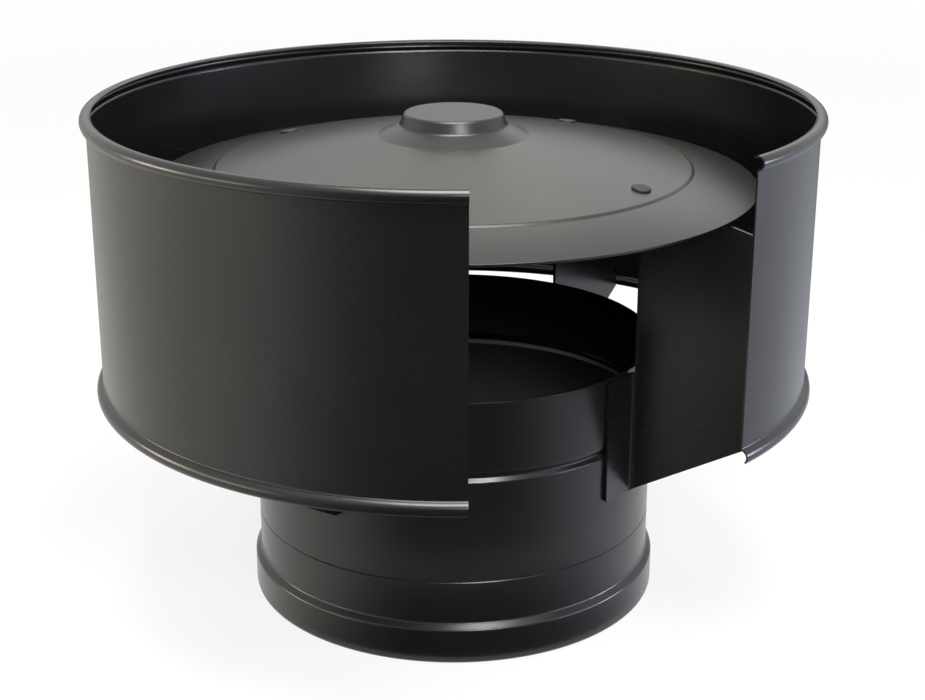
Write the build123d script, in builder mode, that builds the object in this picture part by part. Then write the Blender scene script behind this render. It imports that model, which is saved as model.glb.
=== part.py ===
from build123d import *
from math import acos, asin, atan, cos, degrees, radians, sin, sqrt, tan
import os

# Rain cap for a round flue: a wind band hangs round a domed cap, and four folded brackets
# carry both on a short pipe whose lower end is a socket for the flue.
# Millimetres, +Z up. The origin is on the flue's axis at the socket's lowest edge.
# An azimuth is counted from the front (-Y) towards the right side (+X).

# Flue pipe
pipe_radius = 76.0
pipe_sheet = 0.8
pipe_top = 99.7
seam_height = 31.5
seam_bevel = 0.3
stop_bead_height = 71.6
stop_bead_depth = 1.2
stop_bead_half_width = 2.0
stop_bead_root_radius = 0.9
stop_bead_shoulder_radius = 1.6

# Socket collar below the seam
swell_step = 2.2
swell_top = 15.5
swell_bend_radius = 1.2
hem_radius = 1.8
hem_lip = 0.4

# Cap
rim_radius = 112.1
rim_height = 160.0
cap_sheet = 1.0
crease_margin = 4.5
crease_height = 165.25
crease_rise = 0.75
crease_width = 1.3
crease_bend_radius = 0.6
boss_foot_radius = 27.9
boss_foot_height = 176.8
boss_neck_radius = 19.9
boss_neck_height = 180.5
boss_top_radius = 18.1
boss_top_height = 185.1
boss_foot_bend_radius = 2.5
boss_neck_bend_radius = 1.6
boss_top_bend_radius = 1.5

# Wind band, with an eighth of its turn cut away to show the inside
band_radius = 132.5
band_sheet = 0.7
band_top = 189.5
top_bead_radius = 2.5
top_bead_swell = 2.2
top_bead_wrap = 217.0
bottom_bead_height = 85.7
bottom_bead_radius = 2.9
bottom_bead_swell = 2.4
bottom_bead_wrap = 125.0
bead_root_radius = 0.7
cutaway_start = 2.0
cutaway_angle = 45.2

# Brackets
bracket_count = 4
bracket_azimuth = 56.0
bracket_sheet = 1.0
bend_radius = 1.8
plate_offset = 1.65
bracket_foot = 52.3
lower_slope = 30.2
pipe_flange_reach = 13.9
pipe_flange_gap = 1.0
pipe_flange_corner_radius = 2.0
band_flange_width = 14.0
band_flange_bottom_gap = 1.0
band_flange_top_gap = 2.5
band_flange_corner_radius = 3.0
arm_inner_gap = 1.9
arm_outer_gap = 0.3
seat_gap = 0.05
cap_gap = 0.6
tab_gap = 0.12
tab_width = 10.0
tab_reach = 6.0
tab_corner_radius = 2.0
tab_bend_radius = 0.8
tab_relief = 1.0

# Rivets through the cap and the bracket tabs
rivet_inset = 1.6
rivet_offset = 1.9
rivet_shank_radius = 1.6
rivet_hole_gap = 0.1
rivet_head_radius = 3.5
rivet_head_height = 1.0
rivet_head_crown = 0.15
rivet_head_edge_radius = 0.6
rivet_tail_radius = 2.6
rivet_tail_height = 1.6
rivet_seat_gap = 0.03

os.makedirs("parts", exist_ok=True)


# Upright plane through the axis at an azimuth: x is the radius and y is the height
def radial_plane(azimuth):
    turn = radians(azimuth)
    return Plane(origin=(0, 0, 0), x_dir=(sin(turn), -cos(turn), 0), z_dir=(-cos(turn), -sin(turn), 0))


# Level plane whose x runs outwards at an azimuth and whose y runs towards larger azimuths
def plan_plane(azimuth, height=0.0):
    turn = radians(azimuth)
    return Plane(origin=(0, 0, height), x_dir=(sin(turn), -cos(turn), 0), z_dir=(0, 0, 1))


# Flue pipe: a rolled tube with an inward bead that stops the flue
with BuildPart() as flue_pipe:
    with BuildSketch(Plane.XZ):
        with BuildLine():
            FilletPolyline(
                (pipe_radius, seam_height),
                (pipe_radius, stop_bead_height - stop_bead_half_width),
                (pipe_radius - stop_bead_depth, stop_bead_height),
                (pipe_radius, stop_bead_height + stop_bead_half_width),
                (pipe_radius, pipe_top),
                radius=[stop_bead_shoulder_radius, stop_bead_root_radius, stop_bead_shoulder_radius],
            )
            offset(amount=pipe_sheet, side=Side.LEFT)
        make_face()
    revolve(axis=Axis.Z)
    seam_edges = flue_pipe.edges().filter_by(GeomType.CIRCLE).group_by(Axis.Z)[0]
    chamfer(seam_edges.sort_by(SortBy.RADIUS)[-1], seam_bevel)

flue_pipe.part.label = "flue_pipe"
export_step(flue_pipe.part, "parts/flue_pipe.step")

# Socket collar: butted under the pipe, swelled for a seal and hemmed inwards at its mouth
with BuildPart() as socket_collar:
    swell_radius = pipe_radius + swell_step
    with BuildSketch(Plane.XZ):
        with BuildLine():
            FilletPolyline(
                (pipe_radius, seam_height),
                (pipe_radius, swell_top),
                (swell_radius, swell_top - swell_step),
                (swell_radius, 0),
                (swell_radius - hem_radius - hem_lip, 0),
                radius=[swell_bend_radius, swell_bend_radius, hem_radius],
            )
            offset(amount=pipe_sheet, side=Side.RIGHT)
        make_face()
    revolve(axis=Axis.Z)
    seam_edges = socket_collar.edges().filter_by(GeomType.CIRCLE).group_by(Axis.Z)[-1]
    chamfer(seam_edges.sort_by(SortBy.RADIUS)[-1], seam_bevel)

socket_collar.part.label = "socket_collar"
export_step(socket_collar.part, "parts/socket_collar.step")

# Cap: a shallow pressed cone with a raised ring crease and a flat-topped boss. The rivets stand
# over the brackets' inner edges, and the crease runs outside their heads
arm_inner_radius = pipe_radius + arm_inner_gap
rivet_circle_radius = arm_inner_radius + rivet_inset
crease_inner_radius = rivet_circle_radius + rivet_head_radius + crease_margin
crease_radius = crease_inner_radius + crease_width
crease_inner_height = crease_height + crease_rise
inner_slope = (boss_foot_height - crease_inner_height) / (crease_inner_radius - boss_foot_radius)
outer_slope = (crease_height - rim_height) / (rim_radius - crease_radius)


# Height of the cap's upper face between the boss and the crease
def cap_height(radius):
    return crease_inner_height + inner_slope * (crease_inner_radius - radius)


# Plane on the cap's upper face at the rivets' radius, z square to the sheet and x down the slope
def cap_plane(azimuth):
    side = radial_plane(azimuth)
    tilt = atan(inner_slope)
    return Plane(
        origin=side.from_local_coords((rivet_circle_radius, cap_height(rivet_circle_radius))),
        x_dir=side.x_dir * cos(tilt) - side.y_dir * sin(tilt),
        z_dir=side.x_dir * sin(tilt) + side.y_dir * cos(tilt),
    )


bracket_azimuths = [bracket_azimuth + 360.0 / bracket_count * turn for turn in range(bracket_count)]
rivet_azimuths = [azimuth - degrees(asin(rivet_offset / rivet_circle_radius)) for azimuth in bracket_azimuths]
rivet_hole_radius = rivet_shank_radius + rivet_hole_gap
rivet_grip = cap_sheet + tab_gap + bracket_sheet

with BuildPart() as cap_lid:
    with BuildSketch(Plane.XZ):
        with BuildLine():
            FilletPolyline(
                (0, boss_top_height),
                (boss_top_radius, boss_top_height),
                (boss_neck_radius, boss_neck_height),
                (boss_foot_radius, boss_foot_height),
                (crease_inner_radius, crease_inner_height),
                (crease_radius, crease_height),
                (rim_radius, rim_height),
                radius=[
                    boss_top_bend_radius,
                    boss_neck_bend_radius,
                    boss_foot_bend_radius,
                    crease_bend_radius + cap_sheet,
                    crease_bend_radius,
                ],
            )
            offset(amount=cap_sheet, side=Side.RIGHT)
        make_face()
    revolve(axis=Axis.Z)
    for azimuth in rivet_azimuths:
        with Locations(cap_plane(azimuth).offset(cap_sheet)):
            Hole(radius=rivet_hole_radius, depth=3 * cap_sheet)

cap_lid.part.label = "cap_lid"
export_step(cap_lid.part, "parts/cap_lid.step")

# Wind band: one sheet rolled to a drum, both edges swaged outwards into open half-round beads
with BuildPart() as wind_band:
    bottom_bead_centre = (band_radius + bottom_bead_swell - bottom_bead_radius, bottom_bead_height)
    top_bead_centre = (band_radius + top_bead_swell - top_bead_radius, band_top - top_bead_radius)
    bottom_root_angle = degrees(acos((band_radius - bottom_bead_centre[0]) / bottom_bead_radius))
    top_root_angle = -degrees(acos((band_radius - top_bead_centre[0]) / top_bead_radius))
    with BuildSketch(radial_plane(cutaway_start + cutaway_angle)) as band_section:
        with BuildLine():
            bottom_bead = CenterArc(
                bottom_bead_centre,
                bottom_bead_radius,
                bottom_root_angle - bottom_bead_wrap,
                bottom_bead_wrap,
            )
            top_bead = CenterArc(top_bead_centre, top_bead_radius, top_root_angle, top_bead_wrap)
            Line(bottom_bead @ 1, top_bead @ 0)
            offset(amount=band_sheet, side=Side.LEFT)
        make_face()
        bead_roots = band_section.vertices().filter_by(lambda corner: abs(corner.X - band_radius) < 0.001)
        fillet(bead_roots, bead_root_radius)
    revolve(axis=Axis.Z, revolution_arc=360 - cutaway_angle)

wind_band.part.label = "wind_band"
export_step(wind_band.part, "parts/wind_band.step")

# Brackets: Z-shaped sheet arms with a flat flange on the pipe, another on the wind band
# and a tab folded over under the cap
plate_far_face = plate_offset + bracket_sheet
outer_bend_radius = bend_radius + bracket_sheet

pipe_flange_distance = pipe_radius + seat_gap
pipe_flange_turn = asin((plate_far_face - pipe_flange_reach) / 2 / pipe_flange_distance)

band_bore_radius = band_radius - band_sheet
band_flange_end = plate_offset + band_flange_width
band_flange_middle = (plate_offset + outer_bend_radius + band_flange_end) / 2
band_flange_distance = sqrt((band_bore_radius - seat_gap) ** 2 - (band_flange_end - band_flange_middle) ** 2)
band_flange_turn = asin(band_flange_middle / band_flange_distance)
band_flange_face = band_flange_distance - bracket_sheet

arm_foot_radius = pipe_radius + bracket_sheet
arm_outer_radius = band_bore_radius - arm_outer_gap
band_bend_start = band_flange_face - outer_bend_radius - bracket_sheet
bead_root_height = bottom_bead_centre[1] + bottom_bead_radius * sin(radians(bottom_root_angle))
band_flange_bottom = bead_root_height + band_flange_bottom_gap


# Point on a flat flange that stands at a distance from the axis and is turned to face it
def on_flange(distance, turn, across):
    return ((distance - across * sin(turn)) / cos(turn), across)


# Heights of an arm's top edge under the cap, outside and inside the crease
def under_skirt(radius):
    skirt_height = crease_height + outer_slope * (crease_radius - radius)
    return skirt_height - (cap_sheet + cap_gap) / cos(atan(outer_slope))


def under_cone(radius):
    return cap_height(radius) - (cap_sheet + cap_gap) / cos(atan(inner_slope))


band_flange_top = under_skirt(band_radius) - band_flange_top_gap
arm_tip_height = bracket_foot + tan(radians(lower_slope)) * (band_radius - arm_foot_radius)
tab_outer_bend_radius = tab_bend_radius + bracket_sheet
tab_leg = tab_outer_bend_radius + bracket_sheet
tab_end = -(rivet_offset + tab_reach)
tab_arm_start = arm_inner_radius - rivet_circle_radius

for number, azimuth in enumerate(bracket_azimuths, start=1):
    plan = plan_plane(azimuth)
    across = Axis((0, 0, 0), plan.y_dir)
    tab_plane = cap_plane(azimuth).offset(-cap_sheet - tab_gap)
    tab_section = Plane(origin=tab_plane.origin, x_dir=tab_plane.y_dir, z_dir=tab_plane.x_dir)

    with BuildPart() as tab:
        with BuildSketch(tab_section.offset(tab_arm_start)):
            with BuildLine():
                FilletPolyline(
                    (tab_end, 0),
                    (plate_far_face, 0),
                    (plate_far_face, -tab_leg),
                    radius=tab_outer_bend_radius,
                )
                offset(amount=bracket_sheet, side=Side.RIGHT)
            make_face()
        extrude(amount=tab_width / 2 - tab_arm_start)
        with BuildSketch(tab_plane):
            with Locations((0, tab_end)):
                Rectangle(tab_width, plate_offset - tab_bend_radius - tab_end, align=(Align.CENTER, Align.MIN))
        extrude(amount=-bracket_sheet)
        tab_tip = tab.faces().sort_by(across)[0]
        fillet(tab_tip.edges().sort_by(SortBy.LENGTH)[:2], tab_corner_radius)

    with BuildPart() as bracket:
        with BuildSketch(plan.offset(bracket_foot)):
            with BuildLine():
                FilletPolyline(
                    on_flange(pipe_flange_distance, pipe_flange_turn, -pipe_flange_reach),
                    on_flange(pipe_flange_distance, pipe_flange_turn, plate_far_face),
                    (arm_outer_radius, plate_far_face),
                    radius=outer_bend_radius,
                )
                offset(amount=bracket_sheet, side=Side.RIGHT)
            make_face()
        extrude(amount=boss_top_height - bracket_foot)

        with BuildSketch(radial_plane(azimuth)):
            with BuildLine():
                Polyline(
                    (0, bracket_foot),
                    (arm_foot_radius, bracket_foot),
                    (band_radius, arm_tip_height),
                    (band_radius, under_skirt(band_radius)),
                    (crease_radius, under_skirt(crease_radius)),
                    (crease_inner_radius, under_cone(crease_inner_radius)),
                    (0, under_cone(0)),
                    close=True,
                )
            make_face()
        extrude(amount=2 * pipe_flange_reach, both=True, mode=Mode.INTERSECT)

        with BuildSketch(plan.offset(pipe_top - pipe_flange_gap)):
            with Locations((arm_inner_radius, 0)):
                Rectangle(arm_inner_radius, 4 * pipe_flange_reach, align=(Align.MAX, Align.CENTER))
        extrude(amount=rim_height, mode=Mode.SUBTRACT)

        with BuildSketch(plan.offset(band_flange_bottom)):
            with Locations((band_bend_start, 0)):
                Rectangle(band_radius, 4 * pipe_flange_reach, align=(Align.MIN, Align.CENTER))
        extrude(amount=band_flange_top - band_flange_bottom, mode=Mode.SUBTRACT)
        with BuildSketch(plan.offset(band_flange_bottom)):
            with BuildLine():
                FilletPolyline(
                    (band_bend_start, plate_far_face),
                    on_flange(band_flange_face, band_flange_turn, plate_far_face),
                    on_flange(band_flange_face, band_flange_turn, band_flange_end),
                    radius=bend_radius,
                )
                offset(amount=bracket_sheet, side=Side.RIGHT)
            make_face()
        extrude(amount=band_flange_top - band_flange_bottom)

        with BuildSketch(tab_plane.offset(-tab_outer_bend_radius)):
            with Locations((tab_width / 2 + tab_relief, 0)):
                Rectangle(rim_radius, 4 * pipe_flange_reach, align=(Align.MAX, Align.CENTER))
        extrude(amount=rim_height, mode=Mode.SUBTRACT)
        add(tab.part)
        with Locations(cap_plane(rivet_azimuths[number - 1]).offset(cap_sheet)):
            Hole(radius=rivet_hole_radius, depth=cap_sheet + 2 * rivet_grip)

        pipe_flange_edge = bracket.faces().sort_by(across)[0]
        fillet(pipe_flange_edge.edges().sort_by(SortBy.LENGTH)[:2], pipe_flange_corner_radius)
        band_flange_edge = bracket.faces().sort_by(across)[-1]
        fillet(band_flange_edge.edges().sort_by(SortBy.LENGTH)[:2], band_flange_corner_radius)

    bracket.part.label = f"bracket_{number}"
    export_step(bracket.part, f"parts/bracket_{number}.step")

# Rivets: a low crowned head on the cap, a shank through both sheets and a set head under the tab
rivet_head_seat = rivet_seat_gap
rivet_tail_seat = -rivet_grip - rivet_seat_gap

with BuildPart(mode=Mode.PRIVATE) as rivet:
    with BuildSketch(Plane.XZ) as rivet_section:
        with BuildLine():
            head_top = TangentArc(
                (0, rivet_head_seat + rivet_head_height),
                (rivet_head_radius, rivet_head_seat + rivet_head_height - rivet_head_crown),
                tangent=(1, 0),
            )
            Polyline(
                head_top @ 1,
                (rivet_head_radius, rivet_head_seat),
                (rivet_shank_radius, rivet_head_seat),
                (rivet_shank_radius, rivet_tail_seat),
                (rivet_tail_radius, rivet_tail_seat),
                (rivet_tail_radius, rivet_tail_seat - rivet_tail_height),
                (0, rivet_tail_seat - rivet_tail_height),
                head_top @ 0,
            )
        make_face()
        fillet(rivet_section.vertices().group_by(Axis.X)[-1].sort_by(Axis.Y)[-1], rivet_head_edge_radius)
    revolve(axis=Axis.Z)

with BuildPart() as cap_rivets:
    with Locations([cap_plane(azimuth) for azimuth in rivet_azimuths]):
        add(rivet.part)

cap_rivets.part.label = "cap_rivets"
export_step(cap_rivets.part, "parts/cap_rivets.step")
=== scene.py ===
# %% [markdown]
# # A black steel rain cap for a round flue
# The real object is folded and spun from thin steel sheet and coated in satin black. A short pipe
# slips over the flue, four folded brackets stand on it, and they carry a shallow cap and a round
# wind band. The band is shown with an eighth of its turn cut away, so that the inside can be seen.
# The construction already exists as solids. They are loaded first, as a frame that stays where it
# is, and everything below is fitted to it.

# %% Load the frame
from math import acos, asin, atan, atan2, cos, degrees, pi, radians, sin, sqrt

import bmesh
import bpy
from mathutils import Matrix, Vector


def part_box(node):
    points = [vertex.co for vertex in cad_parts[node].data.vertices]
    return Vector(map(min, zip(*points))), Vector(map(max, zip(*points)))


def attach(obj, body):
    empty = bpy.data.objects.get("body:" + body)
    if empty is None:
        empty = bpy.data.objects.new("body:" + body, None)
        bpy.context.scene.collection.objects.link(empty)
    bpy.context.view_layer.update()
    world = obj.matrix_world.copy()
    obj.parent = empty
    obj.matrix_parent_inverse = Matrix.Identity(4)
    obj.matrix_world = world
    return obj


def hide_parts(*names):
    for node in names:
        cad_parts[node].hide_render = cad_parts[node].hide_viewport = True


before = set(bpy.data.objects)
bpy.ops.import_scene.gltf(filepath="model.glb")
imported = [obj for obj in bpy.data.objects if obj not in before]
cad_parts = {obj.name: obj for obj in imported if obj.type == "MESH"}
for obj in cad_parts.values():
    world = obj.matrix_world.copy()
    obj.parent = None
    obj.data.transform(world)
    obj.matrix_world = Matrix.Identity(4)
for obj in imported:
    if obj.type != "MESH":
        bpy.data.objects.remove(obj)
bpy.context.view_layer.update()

mm_in_metre = 1000.0
cm3_in_m3 = 1e6
for name in sorted(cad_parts):
    low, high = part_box(name)
    print(name, [round(mm_in_metre * (b - a), 1) for a, b in zip(low, high)], "mm")

# %% [markdown]
# ## Camera
# The photograph looks down at the cap from the front by about nineteen degrees, from near enough
# for the rims to open into full ellipses. A camera's place can be guessed and nudged until the
# picture fits, or solved from what is known to be round. Here it was solved from the ellipses of
# the band, the pipe and the cap, which share one axis, and the sideways shift moves that axis a
# little left of the picture's middle.

# %% Camera at the photograph's angle
view_down = 19.433
camera_data = bpy.data.cameras.new("camera")
camera_data.sensor_width = 36.0
camera_data.lens = 68.54
camera_data.shift_x = 0.0097
camera_data.clip_start = 0.01
camera_data.clip_end = 20.0
camera = bpy.data.objects.new("camera", camera_data)
camera.location = (0.0, -0.6381, 0.3175)
camera.rotation_euler = (radians(90.0 - view_down), 0.0, 0.0)
bpy.context.scene.collection.objects.link(camera)
bpy.context.scene.camera = camera
print("camera", round(camera.location.length, 3), "m from the foot of the object")

# %% [markdown]
# ## Writing node trees as sums
# Finishes and repeated shapes are both trees of nodes, and a tree is hard to read when each node
# takes five lines. One method here makes any node from its type, its settings and its sockets. A
# small class wraps a socket, so that a sum on it, such as `0.4 + 0.1 * grain`, adds the Math nodes
# by itself.


# %% A socket that can be used in sums
class Socket:
    def __init__(self, tree, socket):
        self.tree = tree
        self.socket = socket

    def __add__(self, other):
        return self.tree.math("ADD", self, other)

    def __radd__(self, other):
        return self.tree.math("ADD", other, self)

    def __sub__(self, other):
        return self.tree.math("SUBTRACT", self, other)

    def __rsub__(self, other):
        return self.tree.math("SUBTRACT", other, self)

    def __mul__(self, other):
        return self.tree.math("MULTIPLY", self, other)

    def __rmul__(self, other):
        return self.tree.math("MULTIPLY", other, self)

    def __truediv__(self, other):
        return self.tree.math("DIVIDE", self, other)

    def __rtruediv__(self, other):
        return self.tree.math("DIVIDE", other, self)


# %% A tree that makes its nodes in one call each
class Tree:
    def __init__(self, nodes, links):
        self.nodes = nodes
        self.links = links

    def node(self, kind, settings=None, sockets=None, output=0):
        made = self.nodes.new(kind)
        for key, value in (settings or {}).items():
            if key == "stops":
                ramp = made.color_ramp.elements
                while len(ramp) < len(value):
                    ramp.new(0.5)
                for stop, (place, colour) in zip(ramp, value):
                    stop.position = place
                    stop.color = colour
            else:
                setattr(made, key, value)
        for key, value in (sockets or {}).items():
            if isinstance(value, Socket):
                self.links.new(value.socket, made.inputs[key])
            else:
                made.inputs[key].default_value = value
        return Socket(self, made.outputs[output]) if len(made.outputs) else made

    def math(self, operation, first, second=0.0):
        return self.node("ShaderNodeMath", {"operation": operation}, {0: first, 1: second})


# %% [markdown]
# ## Bent sheet as a line with a thickness
# Every round piece of the cap is one sheet, bent along circles. Its section is a line of straight
# runs and bends, and the sheet's thickness is added to one side of that line. The section could be
# drawn point by point, but the bends would then hold no real radius. Working it out from corners
# and radii keeps the sizes of the real bends. Sheared edges are never quite sharp, and a tiny
# rounding is what catches the thin bright line along every rim.


# %% Lines, bends and arcs of a section
# Sections are drawn in millimetres, as a radius and a height, and angles are in degrees. Each bend
# has a point a short lead before and after it, which keeps the shading of the flat runs flat.
def arc(centre, radius, start, end, step=7.0):
    count = max(2, int(abs(end - start) / step) + 1)
    turns = [radians(start + (end - start) * i / count) for i in range(count + 1)]
    return [(centre[0] + radius * cos(t), centre[1] + radius * sin(t)) for t in turns]


def shorter_way(start, end):
    return start + (end - start + 180.0) % 360.0 - 180.0


def bent_line(corners, radii, lead):
    points = [corners[0]]
    for before, corner, after, radius in zip(corners, corners[1:], corners[2:], radii):
        back = Vector(before) - Vector(corner)
        on = Vector(after) - Vector(corner)
        half = back.angle(on) / 2
        reach = radius / (sin(half) / cos(half))
        centre = Vector(corner) + (back.normalized() + on.normalized()).normalized() * radius / sin(half)
        first = Vector(corner) + back.normalized() * reach
        last = Vector(corner) + on.normalized() * reach
        start = degrees(atan2(first[1] - centre[1], first[0] - centre[0]))
        end = degrees(atan2(last[1] - centre[1], last[0] - centre[0]))
        points.append(tuple(first + back.normalized() * lead))
        points += arc(centre, radius, start, shorter_way(start, end))
        points.append(tuple(last + on.normalized() * lead))
    return points + [corners[-1]]


# %% A sheet's closed section with rounded edges
# The line is the sheet's face, and the thickness lies to the left of the way it runs. The edges
# are the rounding's radius at the first and the last end of the line. An end that is True in cuts
# has a straight bevel of that size instead.
sheared_edge = 0.16


def sheet_section(
    line,
    thickness,
    edges=(sheared_edge, sheared_edge),
    cuts=(False, False),
    ends_on_axis=False,
):
    face = [Vector(p) for p in line]
    ways = [(b - a).normalized() for a, b in zip(face, face[1:])]
    sides = []
    for before, after in zip(ways[:1] + ways, ways + ways[-1:]):
        middle = (before + after).normalized()
        sides.append(Vector((-middle[1], middle[0])) / middle.dot(after))
    back = [p + s * thickness for p, s in zip(face, sides)]

    def rounded(corner, first_way, second_way, end):
        edge = edges[end]
        centre = corner + (first_way + second_way) * edge
        start = degrees(atan2(-second_way[1], -second_way[0]))
        stop = degrees(atan2(-first_way[1], -first_way[0]))
        turned = [Vector(p) for p in arc(centre, edge, start, shorter_way(start, stop), step=22.5)]
        return [turned[0], turned[-1]] if cuts[end] else turned

    begin = rounded(back[0], ways[0], -sides[0], 0) + rounded(face[0], sides[0], ways[0], 0)
    if ends_on_axis:
        return [tuple(p) for p in back[1:][::-1] + begin + face[1:]], False
    finish = rounded(face[-1], -ways[-1], sides[-1], 1) + rounded(back[-1], -sides[-1], -ways[-1], 1)
    return [tuple(p) for p in begin + face[1:-1] + finish + back[1:-1][::-1]], True


# %% [markdown]
# ## Turning a section into a ring of sheet
# A spun or rolled piece is one section carried round the flue's axis. Blender's Spin tool does that
# once and forgets it. A small Geometry Nodes tree keeps it as a rule instead: the section follows a
# circle, or a part of one for the band that is cut away, and the ends of a part are closed.


# %% How each Geometry Nodes tree begins and ends
def begin_tree(name, taken, sizes, made):
    group = bpy.data.node_groups.new(name, "GeometryNodeTree")
    for socket_name, kind in [(taken, "Geometry")] + sizes + [("Finish", "Material")]:
        group.interface.new_socket(socket_name, in_out="INPUT", socket_type="NodeSocket" + kind)
    group.interface.new_socket(made, in_out="OUTPUT", socket_type="NodeSocketGeometry")
    tree = Tree(group.nodes, group.links)
    given = group.nodes.new("NodeGroupInput")
    inputs = {socket.name: Socket(tree, socket) for socket in given.outputs if socket.name}
    return group, tree, inputs


def end_tree(tree, shape, finish, made):
    real = tree.node("GeometryNodeRealizeInstances", None, {"Geometry": shape})
    done = tree.node("GeometryNodeSetMaterial", None, {"Geometry": real, "Material": finish})
    tree.node("NodeGroupOutput", None, {made: done})


# %% Geometry Nodes tree that carries a section round the axis
joined_within = 0.000004


def ring_tree(whole):
    sizes = [("Ring radius", "Float"), ("Steps", "Int")]
    if not whole:
        sizes += [("Start", "Float"), ("Sweep", "Float")]
    group, tree, inputs = begin_tree("whole ring" if whole else "part of a ring", "Section", sizes, "Ring")
    section = tree.node("GeometryNodeMeshToCurve", None, {"Mesh": inputs["Section"]})
    path_sizes = {"Resolution": inputs["Steps"], "Radius": inputs["Ring radius"]}
    if whole:
        path = tree.node("GeometryNodeCurvePrimitiveCircle", {"mode": "RADIUS"}, path_sizes)
    else:
        path_sizes.update({"Start Angle": inputs["Start"], "Sweep Angle": inputs["Sweep"]})
        path = tree.node("GeometryNodeCurveArc", {"mode": "RADIUS"}, path_sizes)
    ring_sockets = {"Curve": path, "Profile Curve": section, "Fill Caps": not whole}
    ring = tree.node("GeometryNodeCurveToMesh", None, ring_sockets)
    joined = tree.node("GeometryNodeMergeByDistance", None, {"Geometry": ring, "Distance": joined_within})
    smooth = tree.node("GeometryNodeSetShadeSmooth", None, {"Geometry": joined})
    end_tree(tree, smooth, inputs["Finish"], "Ring")
    return group


ring_trees = {True: ring_tree(True), False: ring_tree(False)}
print("trees:", [group.name for group in ring_trees.values()])

# %% Put a tree on a piece, take its result and let the tree go
sharp_from = 32.0


def set_inputs(modifier, values):
    for item in modifier.node_group.interface.items_tree:
        if item.item_type == "SOCKET" and item.in_out == "INPUT" and item.name in values:
            modifier[item.identifier] = values[item.name]


def settle(piece, group, values):
    modifier = piece.modifiers.new(group.name, "NODES")
    modifier.node_group = group
    set_inputs(modifier, values)
    seen = piece.evaluated_get(bpy.context.evaluated_depsgraph_get())
    made = bpy.data.meshes.new_from_object(seen)
    piece.modifiers.remove(modifier)
    made.name = piece.name
    piece.data = made
    shell = bmesh.new()
    shell.from_mesh(made)
    bmesh.ops.recalc_face_normals(shell, faces=shell.faces)
    open_edges = sum(not edge.is_manifold for edge in shell.edges)
    volume = cm3_in_m3 * shell.calc_volume(signed=True)
    shell.to_mesh(made)
    shell.free()
    made.set_sharp_from_angle(angle=radians(sharp_from))
    print(piece.name, len(made.polygons), "faces,", open_edges, "open edges,", round(volume, 2), "cm3")
    return piece


# %% A section carried round the axis as one piece
# An azimuth is counted in degrees from the front, and grows to the right.
def turn_of(azimuth):
    return radians(azimuth - 90.0)


def sheet_ring(name, section, finish, start=None, sweep=None, steps=288):
    outline, closed = section
    ring_radius = sum(r for r, z in outline) / len(outline)
    points = [((r - ring_radius) / mm_in_metre, -z / mm_in_metre, 0.0) for r, z in outline]
    edges = [(i, i + 1) for i in range(len(points) - 1)]
    if closed:
        edges.append((len(points) - 1, 0))
    mesh = bpy.data.meshes.new(name)
    mesh.from_pydata(points, edges, [])
    piece = bpy.data.objects.new(name, mesh)
    bpy.context.scene.collection.objects.link(piece)
    values = {"Ring radius": ring_radius / mm_in_metre, "Steps": steps, "Finish": finish.material}
    if sweep is not None:
        values.update({"Start": turn_of(start), "Sweep": radians(sweep)})
    return settle(piece, ring_trees[sweep is None], values)


# %% [markdown]
# ## Satin black stove coating
# The sheet is coated with a heat-resistant satin black. Up close the coating isn't smooth: it dries
# with a fine pebbled skin, a few hard grains of pigment stand out, and wide soft patches are a
# little drier than the rest. A flat black would swallow every shape. Here the base stays nearly
# black, and the roughness and a very low bump carry the skin, so the light does the drawing. All
# patterns read Object coordinates, in metres, so a grain has the same real size on every piece.


# %% Helpers for a finish
class Finish(Tree):
    def __init__(self, name):
        self.material = bpy.data.materials.new(name)
        self.material.use_nodes = True
        tree = self.material.node_tree
        tree.nodes.clear()
        super().__init__(tree.nodes, tree.links)


def noise(finish, place, scale, detail, roughness=0.5):
    sockets = {"Vector": place, "Scale": scale, "Detail": detail, "Roughness": roughness}
    return finish.node("ShaderNodeTexNoise", {"noise_dimensions": "3D"}, sockets)


# The Mix node keeps its two colours in sockets 6 and 7, and gives the mixed one as output 2.
def mix_colours(finish, share, first, second):
    return finish.node("ShaderNodeMix", {"data_type": "RGBA"}, {0: share, 6: first, 7: second}, output=2)


def shade(tint, share, added=0.0):
    return tuple(share * c + added for c in tint) + (1.0,)


# %% The coating as a function of its few numbers
# The scales are about how many pebbles, grains, groups of grains or patches go into a metre.
pebble_scale = 1150.0
grain_scale = 900.0
grain_group_scale = 260.0
patch_scale = 22.0
grain_size = 0.22
grain_strength = 0.7
patch_roughness = 0.08
pebble_roughness = 0.06
bump_strength = 0.35
bump_height = 0.00004


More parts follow.
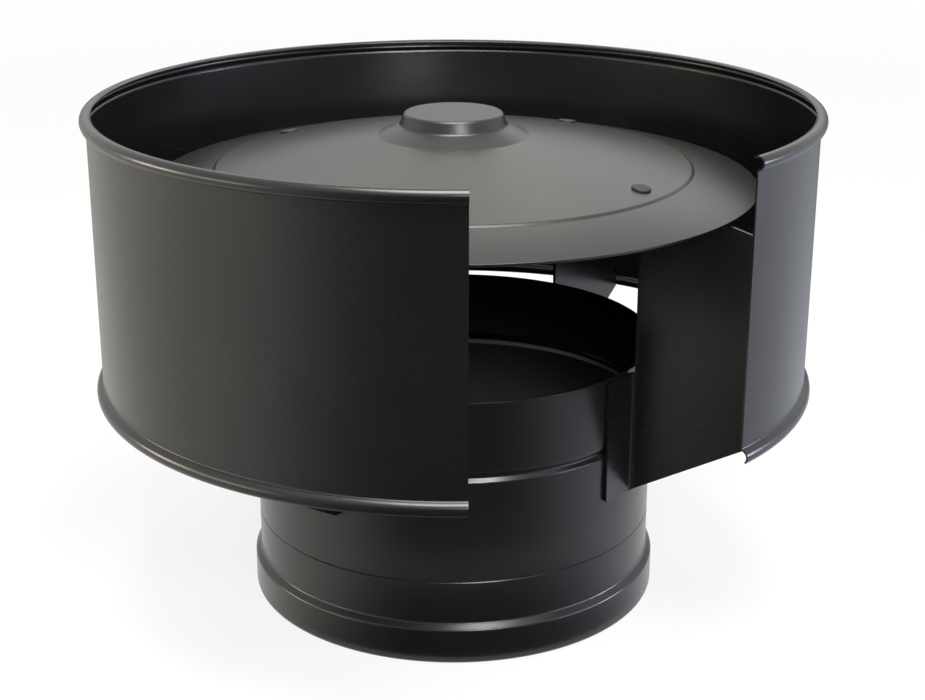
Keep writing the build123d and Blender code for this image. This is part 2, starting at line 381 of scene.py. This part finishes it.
def stove_black(name, tint=(0.006, 0.006, 0.0062), rough=0.26, skin=1.0, offset=(0.0, 0.0, 0.0)):
    finish = Finish(name)
    coordinates = finish.node("ShaderNodeTexCoord", output="Object")
    place = finish.node("ShaderNodeMapping", None, {"Vector": coordinates, "Location": offset})
    pebbles = noise(finish, place, pebble_scale, 3.0, 0.55)
    grains = finish.node("ShaderNodeTexVoronoi", {"feature": "F1"}, {"Vector": place, "Scale": grain_scale})
    specks = finish.node(
        "ShaderNodeValToRGB",
        {"stops": [(0.0, (1.0, 1.0, 1.0, 1.0)), (grain_size, (0.0, 0.0, 0.0, 1.0))]},
        {"Fac": grains},
    )
    grain_groups = finish.node(
        "ShaderNodeMapRange",
        {"clamp": True},
        {"Value": noise(finish, place, grain_group_scale, 1.0), "From Min": 0.56, "From Max": 0.66},
    )
    speckle = specks * grain_groups
    patches = noise(finish, place, patch_scale, 3.0, 0.6)
    coat = mix_colours(finish, patches, shade(tint, 0.86), shade(tint, 1.14))
    colour = mix_colours(finish, grain_strength * speckle, coat, shade(tint, 1.9, added=0.006))
    roughness = rough + patch_roughness * (patches - 0.5) + pebble_roughness * (pebbles - 0.5)
    bump = finish.node(
        "ShaderNodeBump",
        None,
        {"Height": pebbles + 0.5 * speckle, "Strength": bump_strength * skin, "Distance": bump_height},
    )
    surface = finish.node(
        "ShaderNodeBsdfPrincipled",
        None,
        {"Base Color": colour, "Roughness": roughness, "Normal": bump},
    )
    finish.node("ShaderNodeOutputMaterial", None, {"Surface": surface})
    return finish


# %% One coating for each kind of piece
# All pieces lie in the same space, so an offset keeps the grains from running on to the next one.
cap_tint = (0.009, 0.009, 0.0084)
band_coat = stove_black("band coating", offset=(0.31, 0.0, 0.07))
cap_coat = stove_black("cap coating", tint=cap_tint, rough=0.33, skin=2.4, offset=(0.0, 0.23, 0.0))
pipe_coat = stove_black("pipe coating", offset=(0.0, 0.11, 0.4))
collar_coat = stove_black("collar coating", offset=(0.17, 0.0, 0.9))
bracket_coat = stove_black("bracket coating", offset=(0.05, 0.6, 0.0))
rivet_coat = stove_black("rivet coating", rough=0.6, offset=(0.7, 0.0, 0.2))
coats = (band_coat, cap_coat, pipe_coat, collar_coat, bracket_coat, rivet_coat)
print("coatings:", [coat.material.name for coat in coats])

# %% [markdown]
# ## Wind band
# The wind band is a drum of thin sheet whose two edges are swaged outwards into open half-round
# beads. The beads keep the thin wall round and take the sharpness off its edges. Each bead is an
# arc that runs into the straight wall over a small root bend, and stops short of a full turn, so
# the section stays open towards the inside. The ring begins and ends at the cut-away.

# %% Band section and ring
band_radius = 132.5
band_sheet = 0.7
root_radius = 0.7
root_lead = 0.6
cutaway_start = 2.0
cutaway_angle = 45.2


def bead_and_root(centre, radius, wrap, side):
    across = band_radius + root_radius - centre[0]
    rise = sqrt((radius + root_radius) ** 2 - across**2)
    root_turn = degrees(atan2(rise, across))
    wall_turn = degrees(acos((band_radius - centre[0]) / radius))
    bead = arc(centre, radius, side * (wall_turn - wrap), side * root_turn)
    root_centre = (band_radius + root_radius, centre[1] + side * rise)
    root = arc(root_centre, root_radius, 180.0 + side * root_turn, 180.0, step=12.0)
    return bead + root[1:], root_centre[1]


bottom, wall_foot = bead_and_root(centre=(132.0, 85.7), radius=2.9, wrap=125.0, side=1.0)
top, wall_head = bead_and_root(centre=(132.2, 187.0), radius=2.5, wrap=217.0, side=-1.0)
wall = [(band_radius, wall_foot + root_lead), (band_radius, wall_head - root_lead)]
band_section = sheet_section(bottom + wall + top[::-1], band_sheet)
wind_band = sheet_ring(
    "wind_band_sheet",
    band_section,
    band_coat,
    start=cutaway_start + cutaway_angle,
    sweep=360.0 - cutaway_angle,
    steps=300,
)

# %% [markdown]
# ## Cap
# The cap is spun from one disc: a flat-topped boss in the middle, a shallow cone round it, and a
# ring crease that stiffens the skirt outside the rivets. Rain runs down its slope and off the rim.
# The disc has no seam, so its section runs in to the axis and is carried the whole way round.

# %% Cap section and ring
cap_sheet = 1.0
cap_rim = (112.1, 160.0)
crease_foot = (88.6, 165.25)
crease_head = (87.5, 166.0)
boss_foot = (27.9, 176.8)
boss_waist = (19.9, 180.5)
boss_shoulder = (18.1, 185.1)
boss_middle = (0.0, 185.1)
cap_corners = [cap_rim, crease_foot, crease_head, boss_foot, boss_waist, boss_shoulder, boss_middle]
cap_bends = [0.6, 1.6, 2.5, 1.6, 1.5]
cap_line = bent_line(cap_corners, cap_bends, lead=0.3)
cap_section = sheet_section(cap_line, cap_sheet, ends_on_axis=True)
cap_lid = sheet_ring("cap_sheet", cap_section, cap_coat)

# %% [markdown]
# ## Flue pipe and socket collar
# The pipe is a short tube with one bead pressed inwards, which stops the flue at the right depth.
# Below the seam the collar opens into a swell for the sealing cord, and its mouth is hemmed inwards
# so that it slides over the flue without cutting. Both are rings of the same sheet.

# %% Pipe and collar
# At the seam both have a straight bevel, and at the far ends a rounding.
pipe_sheet = 0.8
pipe_radius = 76.0
pipe_rim = 99.7
seam_height = 31.5
seam_bevel = 0.3
pipe_edge = 0.18
stop_bead = [(pipe_radius, 69.6), (74.8, 71.6), (pipe_radius, 73.6)]
pipe_bends = [1.6, 0.9, 1.6]
pipe_corners = [(pipe_radius, seam_height), *stop_bead, (pipe_radius, pipe_rim)]
pipe_line = bent_line(pipe_corners, pipe_bends, lead=0.4)
pipe_section = sheet_section(pipe_line, pipe_sheet, edges=(seam_bevel, pipe_edge), cuts=(True, False))
flue_pipe = sheet_ring("flue_pipe_sheet", pipe_section, pipe_coat)

swell_radius = 78.2
swell_head = 13.3
shoulder_height = 15.5
hem_and_swell = [(pipe_radius, 0.0), (swell_radius, 0.0), (swell_radius, swell_head)]
collar_bends = [1.8, 1.2, 1.2]
collar_corners = [*hem_and_swell, (pipe_radius, shoulder_height), (pipe_radius, seam_height)]
collar_line = bent_line(collar_corners, collar_bends, lead=0.3)
collar_section = sheet_section(collar_line, pipe_sheet, edges=(pipe_edge, seam_bevel), cuts=(False, True))
socket_collar = sheet_ring("socket_collar_sheet", collar_section, collar_coat)

# %% [markdown]
# ## Rivets
# Four rivets with low crowned heads hold the cap on the brackets' tabs. They are one rivet repeated
# on a circle, so one is turned from its section and a Geometry Nodes tree sets it out: each point
# of a small cloud takes its angle from its number, and the rivet is tipped to stand square to the
# cap's slope. Changing the count or the circle would set all of them out anew.

# %% One rivet, turned on its own axis
# Heights are counted from the cap's face, and the head's underside is sunk into it by a hair.
head_radius = 3.5
head_height = 1.0
head_crown = 0.15
head_edge = 0.6
seat_bevel = 0.15
seat_depth = 0.02
shank_radius = 1.6
grip = 2.15
tail_radius = 2.6
tail_bevel = 0.2
tail_shoulder = grip + 1.3
tail_end = grip + 1.6
tail_end_radius = tail_radius - 0.4
crown_radius = (head_radius**2 + head_crown**2) / (2 * head_crown)
edge_turn = asin((head_radius - head_edge) / (crown_radius - head_edge))
edge_height = head_height - crown_radius + (crown_radius - head_edge) * cos(edge_turn)
edge_start = 90.0 - degrees(edge_turn)
head = arc((0.0, head_height - crown_radius), crown_radius, 90.0, edge_start, step=1.0)
head += arc((head_radius - head_edge, edge_height), head_edge, edge_start, 0.0, step=12.0)[1:]
rivet_section = head + [
    (head_radius, 0.0),
    (head_radius - seat_bevel, -seat_depth),
    (shank_radius, -seat_depth),
    (shank_radius, -grip),
    (tail_radius - tail_bevel, -grip),
    (tail_radius, -grip - tail_bevel),
    (tail_radius, -tail_shoulder),
    (tail_end_radius, -tail_end),
    (0.0, -tail_end),
]
one_rivet = sheet_ring("one_rivet", (rivet_section, False), rivet_coat, steps=48)


# %% Geometry Nodes tree that sets the rivets out round the cap
def rivet_tree():
    sizes = [("Rivet", "Object"), ("Count", "Int"), ("Circle", "Float"), ("Height", "Float")]
    sizes += [("First", "Float"), ("Tilt", "Float")]
    group, tree, inputs = begin_tree("rivets on a circle", "Empty", sizes, "Rivets")
    number = tree.node("GeometryNodeInputIndex")
    turn = inputs["First"] + number * (2 * pi / inputs["Count"])
    across = inputs["Circle"] * tree.math("COSINE", turn)
    along = inputs["Circle"] * tree.math("SINE", turn)
    place = tree.node("ShaderNodeCombineXYZ", None, {"X": across, "Y": along, "Z": inputs["Height"]})
    points = tree.node("GeometryNodePoints", None, {"Count": inputs["Count"], "Position": place})
    lean = tree.node("ShaderNodeCombineXYZ", None, {"X": 0.0, "Y": inputs["Tilt"], "Z": turn})
    shape = tree.node("GeometryNodeObjectInfo", None, {"Object": inputs["Rivet"]}, output="Geometry")
    rotation = tree.node("FunctionNodeEulerToRotation", None, {"Euler": lean})
    set_out = tree.node(
        "GeometryNodeInstanceOnPoints",
        None,
        {"Points": points, "Instance": shape, "Rotation": rotation},
    )
    end_tree(tree, set_out, inputs["Finish"], "Rivets")
    return group


# %% Four rivets on the cap
rivet_count = 4
rivet_circle = 79.5
rivet_offset = 1.9
bracket_azimuth = 56.0
cap_slope = (boss_foot[1] - crease_head[1]) / (crease_head[0] - boss_foot[0])
rivet_height = crease_head[1] + cap_slope * (crease_head[0] - rivet_circle)
rivet_azimuth = bracket_azimuth - degrees(asin(rivet_offset / rivet_circle))
cap_rivets = bpy.data.objects.new("cap_rivet_set", bpy.data.meshes.new("cap_rivet_set"))
bpy.context.scene.collection.objects.link(cap_rivets)
settle(
    cap_rivets,
    rivet_tree(),
    {
        "Rivet": one_rivet,
        "Count": rivet_count,
        "Circle": rivet_circle / mm_in_metre,
        "Height": rivet_height / mm_in_metre,
        "First": turn_of(rivet_azimuth),
        "Tilt": atan(cap_slope),
        "Finish": rivet_coat.material,
    },
)
bpy.data.objects.remove(one_rivet)
rivet_box = [[round(mm_in_metre * value, 1) for value in corner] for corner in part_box("cap_rivets")]
print("rivets seated", round(rivet_height, 1), "mm up, and their solids lie in", rivet_box, "mm")

# %% [markdown]
# ## Folded brackets
# Each bracket is one blank, sheared and folded: a flange that follows the pipe, a flat arm, a
# flange that follows the band and a small tab under the cap. The solids already hold the folds, so
# they are kept as they are in shape. What they lack is the slight rounding that coated sheet has
# along its cut edges, so a copy of each is merged and its sharp edges are bevelled.

# %% Copies of the brackets with softened edges
merged_within = 0.000002
flat_within = 0.6
bevel_from = 40.0


def soften(node, finish):
    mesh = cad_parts[node].data.copy()
    mesh.materials.clear()
    mesh.materials.append(finish.material)
    shell = bmesh.new()
    shell.from_mesh(mesh)
    bmesh.ops.remove_doubles(shell, verts=shell.verts, dist=merged_within)
    bmesh.ops.dissolve_limit(shell, angle_limit=radians(flat_within), verts=shell.verts, edges=shell.edges)
    shell.to_mesh(mesh)
    shell.free()
    mesh.name = node + "_sheet"
    piece = bpy.data.objects.new(node + "_sheet", mesh)
    bpy.context.scene.collection.objects.link(piece)
    bevel = piece.modifiers.new("soft edges", "BEVEL")
    bevel.width = sheared_edge / mm_in_metre
    bevel.segments = 2
    bevel.limit_method = "ANGLE"
    bevel.angle_limit = radians(bevel_from)
    even = piece.modifiers.new("even shading", "WEIGHTED_NORMAL")
    even.weight = 100
    for polygon in mesh.polygons:
        polygon.use_smooth = True
    print(piece.name, len(mesh.polygons), "faces before the bevel")
    return piece


bracket_nodes = [f"bracket_{number}" for number in range(1, 5)]
brackets = {node: soften(node, bracket_coat) for node in bracket_nodes}

# %% [markdown]
# ## Standing for the solids
# Each finished piece takes the place of its solid, which is hidden. Nothing on the object moves by
# itself, so all pieces ride on one body.

# %% Tie the pieces to the frame
stands_for = {
    "wind_band": (wind_band, "band_coat"),
    "cap_lid": (cap_lid, "cap_coat"),
    "flue_pipe": (flue_pipe, "pipe_coat"),
    "socket_collar": (socket_collar, "collar_coat"),
    "cap_rivets": (cap_rivets, "rivet_coat"),
}
for node, piece in brackets.items():
    stands_for[node] = (piece, "bracket_coat")
for node, (piece, slot) in stands_for.items():
    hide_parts(node)
    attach(piece, "root")
print("pieces:", sorted(piece.name for piece, slot in stands_for.values()))

# %% [markdown]
# ## White floor and white surroundings
# The photograph is a product picture on pure white. Lighting a floor up to white would flood the
# black object with light from below. Here the white belongs to the floor and the surroundings
# themselves: rays from the camera and from glossy surfaces find them white, and the light that
# they scatter stays at a plain level. Near the object a part of the floor's white is still ordinary
# diffuse white, so the object keeps a soft shadow. Far away the floor glows evenly.

# %% A shader that is white only where it is seen
pure_white = (1.0, 1.0, 1.0, 1.0)


def white_where_seen(tree, seen_white, otherwise):
    rays = tree.node("ShaderNodeLightPath").socket.node.outputs
    seen = tree.math("MAXIMUM", Socket(tree, rays["Is Camera Ray"]), Socket(tree, rays["Is Glossy Ray"]))
    seen = tree.math("MAXIMUM", seen, Socket(tree, rays["Is Transmission Ray"]))
    return tree.node("ShaderNodeMixShader", None, {0: seen, 1: otherwise, 2: seen_white})


# %% Floor that glows where it is seen
floor_half = 6.0
floor_white = Finish("floor white")
diffuse = floor_white.node("ShaderNodeBsdfDiffuse", None, {"Color": (0.8, 0.8, 0.8, 1.0)})
glow = floor_white.node("ShaderNodeEmission", None, {"Color": pure_white, "Strength": 1.0})
place = floor_white.node("ShaderNodeTexCoord", output="Object")
distance = floor_white.node("ShaderNodeVectorMath", {"operation": "LENGTH"}, {0: place}, output="Value")
glow_share = floor_white.node(
    "ShaderNodeMapRange",
    {"clamp": True},
    {"Value": distance, "From Min": 0.5, "From Max": 1.6, "To Min": 0.84, "To Max": 1.0},
)
mostly_glow = floor_white.node("ShaderNodeMixShader", None, {0: glow_share, 1: diffuse, 2: glow})
floor_surface = white_where_seen(floor_white, mostly_glow, diffuse)
floor_white.node("ShaderNodeOutputMaterial", None, {"Surface": floor_surface})
corner_signs = [(-1, -1), (1, -1), (1, 1), (-1, 1)]
floor_corners = [(floor_half * x, floor_half * y, 0.0) for x, y in corner_signs]
floor_mesh = bpy.data.meshes.new("floor")
floor_mesh.from_pydata(floor_corners, [], [(0, 1, 2, 3)])
floor_mesh.materials.append(floor_white.material)
floor = bpy.data.objects.new("floor", floor_mesh)
bpy.context.scene.collection.objects.link(floor)
print("floor", 2 * floor_half, "m wide")

# %% White surroundings, and colours shown as they are
world = bpy.data.worlds.new("white studio")
world.use_nodes = True
world.node_tree.nodes.clear()
air = Tree(world.node_tree.nodes, world.node_tree.links)
white_air = air.node("ShaderNodeBackground", None, {"Color": pure_white, "Strength": 1.0})
plain_air = air.node("ShaderNodeBackground", None, {"Color": (0.95, 0.98, 1.0, 1.0), "Strength": 0.2})
air.node("ShaderNodeOutputWorld", None, {"Surface": white_where_seen(air, white_air, plain_air)})
bpy.context.scene.world = world
bpy.context.scene.view_settings.view_transform = "Standard"
print("world:", world.name)

# %% [markdown]
# ## Graded cards round the object
# A black satin drum mirrors whatever stands round it. In the photograph its front is nearly black,
# it grows lighter towards both sides and darker again at the back. A photographer gets that with
# dark cards that fade to white at the sides. The cards here do the same and nothing else: only
# glossy rays find them, so they take no light from the object or the floor.


# %% A card that only reflections see
# Each of its two long edges is a radius and a height in metres.
def bent_card(name, start, end, low, high, finish, steps=36):
    turns = [radians(start + (end - start) * i / steps) for i in range(steps + 1)]
    corners = [(r * sin(t), -r * cos(t), z) for t in turns for r, z in (low, high)]
    faces = [(2 * i, 2 * i + 1, 2 * i + 3, 2 * i + 2) for i in range(steps)]
    mesh = bpy.data.meshes.new(name)
    mesh.from_pydata(corners, [], faces)
    mesh.materials.append(finish.material)
    made = bpy.data.objects.new(name, mesh)
    bpy.context.scene.collection.objects.link(made)
    made.visible_camera = False
    made.visible_diffuse = False
    made.visible_shadow = False
    made.visible_transmission = False
    print(name, "from", start, "to", end, "degrees")


# %% Greys that fade round the object
# Each is an azimuth and a grey. They are a little warm on the left and cool on the right.
greys = [(-180.0, 0.12), (-157.0, 0.5), (-135.0, 0.85), (-115.0, 1.0), (-65.0, 1.0), (-50.0, 0.82)]
greys += [(-38.0, 0.46), (-27.0, 0.18), (-14.0, 0.03), (20.0, 0.02), (34.0, 0.12), (48.0, 0.4)]
greys += [(60.0, 0.75), (74.0, 1.0), (118.0, 1.0), (137.0, 0.7), (152.0, 0.3), (180.0, 0.12)]
warm = (1.0, 0.97, 0.9)
cool = (0.88, 0.92, 1.0)


def fade_round(finish):
    place = finish.node("ShaderNodeTexCoord", output="Object")
    split = finish.node("ShaderNodeSeparateXYZ", None, {"Vector": place}).socket.node.outputs
    turn = finish.math("ARCTAN2", Socket(finish, split["X"]), 0.0 - Socket(finish, split["Y"]))
    stops = []
    for azimuth, grey in greys:
        stops.append((0.5 + azimuth / 360.0, shade(warm if azimuth < 0.0 else cool, grey)))
    return finish.node("ShaderNodeValToRGB", {"stops": stops}, {"Fac": turn / (2 * pi) + 0.5})


def make_glow(finish, colour):
    glow = finish.node("ShaderNodeEmission", None, {"Color": colour, "Strength": 1.0})
    finish.node("ShaderNodeOutputMaterial", None, {"Surface": glow})


graded = Finish("graded card")
make_glow(graded, fade_round(graded))
dim = Finish("dim card")
make_glow(dim, (0.4, 0.4, 0.4, 1.0))
print(len(greys), "greys round the object")

# %% Cards on the floor, upright in front and behind, and inside the pipe
studio_radius = 1.9
lift = 0.001
front_height = 1.1
back_height = 0.45
foot_radius = 0.0815
foot_reach = 0.14
floor_start = 0.15
inside_radius = 0.0735
bent_card("card_at_foot", -75.0, 85.0, (foot_radius, lift), (foot_reach, lift), graded)
bent_card("card_on_floor", -180.0, 180.0, (floor_start, lift), (studio_radius, lift), graded, steps=72)
bent_card("card_upright", -75.0, 85.0, (studio_radius, 0.0), (studio_radius, front_height), graded)
bent_card("card_behind", 125.0, 235.0, (studio_radius, 0.0), (studio_radius, back_height), graded)
bent_card("card_in_pipe", 0.0, 360.0, (0.0, lift), (inside_radius, lift), dim)

# %% [markdown]
# ## Lamps
# One bare lamp would give a satin black object a small hard spot and leave the rest unseen. Large
# soft boxes and strips, all at the same distance, draw long soft lines instead. A large box above
# draws the beads and the crease, a key light at the upper right lights the cap, and a spot from
# the front draws the boss's side. Strips near the floor at both sides draw the pipe and the band,
# warm on the left and cool on the right. Two weak boxes behind lighten the back of the cap.

# %% Soft boxes round the object
lamp_distance = 1.3
lamp_aim = Vector((0.0, 0.0, 0.1))


def softbox(name, azimuth, elevation, size, power, tint):
    data = bpy.data.lights.new(name, "AREA")
    data.shape = "RECTANGLE"
    data.size, data.size_y = size
    data.energy = power
    data.color = tint
    lamp = bpy.data.objects.new(name, data)
    turn = radians(azimuth)
    level = radians(elevation)
    out = Vector((cos(level) * sin(turn), -cos(level) * cos(turn), sin(level)))
    lamp.location = lamp_aim + lamp_distance * out
    lamp.rotation_euler = out.to_track_quat("Z", "Y").to_euler()
    lamp.visible_camera = False
    bpy.context.scene.collection.objects.link(lamp)


# Each row has a name, an azimuth, an elevation, a size in metres, a power in watts and a tint.
lamps = [
    ("top box", 8.0, 77.0, (0.72, 0.85), 27.0, (1.0, 0.98, 0.93)),
    ("key", 28.0, 61.0, (0.34, 0.24), 4.0, (0.9, 0.95, 1.0)),
    ("front spot", 17.0, 31.0, (0.36, 0.18), 7.5, (0.92, 0.96, 1.0)),
    ("right strip", 90.0, 5.0, (0.34, 0.26), 8.6, (0.66, 0.7, 1.0)),
    ("right front strip", 66.0, 5.0, (0.45, 0.26), 2.6, (0.82, 0.82, 1.0)),
    ("left strip", 268.0, 5.0, (0.45, 0.26), 4.6, (1.0, 0.88, 0.66)),
    ("left front strip", 294.0, 5.0, (0.45, 0.26), 2.0, (1.0, 0.94, 0.75)),
    ("back high", 185.0, 41.0, (0.66, 0.42), 0.92, (1.0, 0.98, 0.86)),
    ("right back", 162.0, 30.0, (0.5, 0.3), 0.38, (0.95, 1.0, 0.9)),
]
for lamp in lamps:
    softbox(*lamp)
print(len(lamps), "soft boxes")
